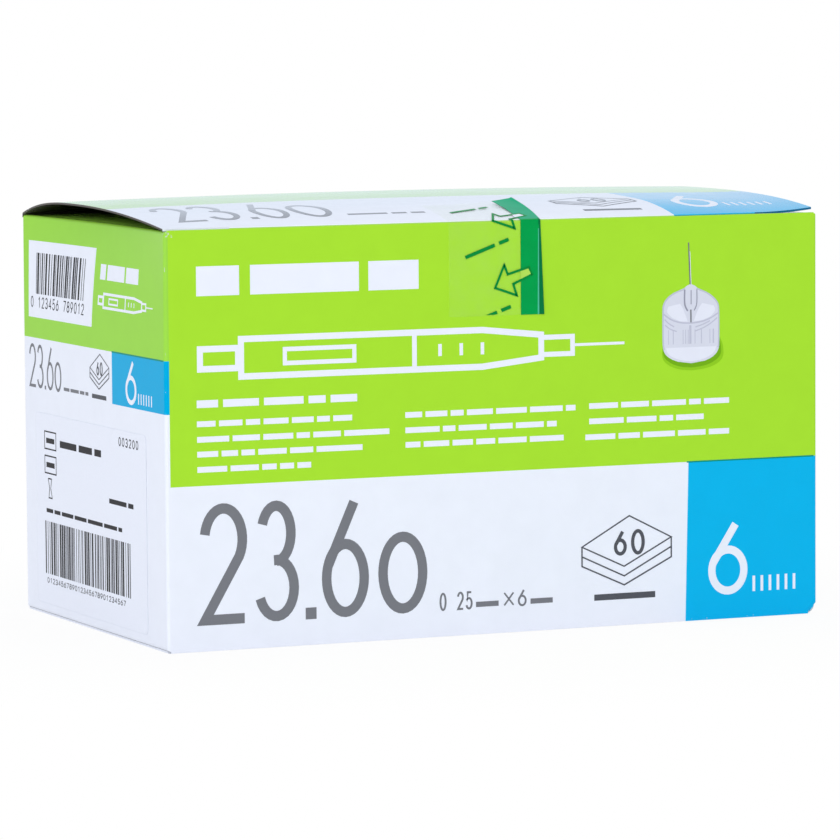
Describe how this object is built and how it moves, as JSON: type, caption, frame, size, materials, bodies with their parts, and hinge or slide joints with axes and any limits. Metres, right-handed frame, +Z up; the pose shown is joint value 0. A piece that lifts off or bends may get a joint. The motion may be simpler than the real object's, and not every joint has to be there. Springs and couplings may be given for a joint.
{
  "type": "pen needle carton",
  "caption": "Sealed tuck-lid folding carton for pen needles, with a bowed lid, a clear film seal over the tuck and a data label on one end.",
  "frame": {"origin": "middle of the rectangle that the carton stands on, at the face of its bottom panel", "axes": "+Z up, +X along the front to the right as seen from the front, front panel faces -Y"},
  "size_m": [0.1481, 0.0857, 0.0898],
  "materials": {
    "printed_board": "white folding boxboard printed in lime green, sky blue and white under a gloss varnish, raw grey-white edges",
    "seal_film": "clear glossy polypropylene film with a printed green stripe",
    "label_paper": "smooth white label paper, thermal printed in black"
  },
  "bodies": {
    "root": {"carton": "printed_board", "seal_label": "seal_film", "data_label": "label_paper"}
  },
  "joints": []
}
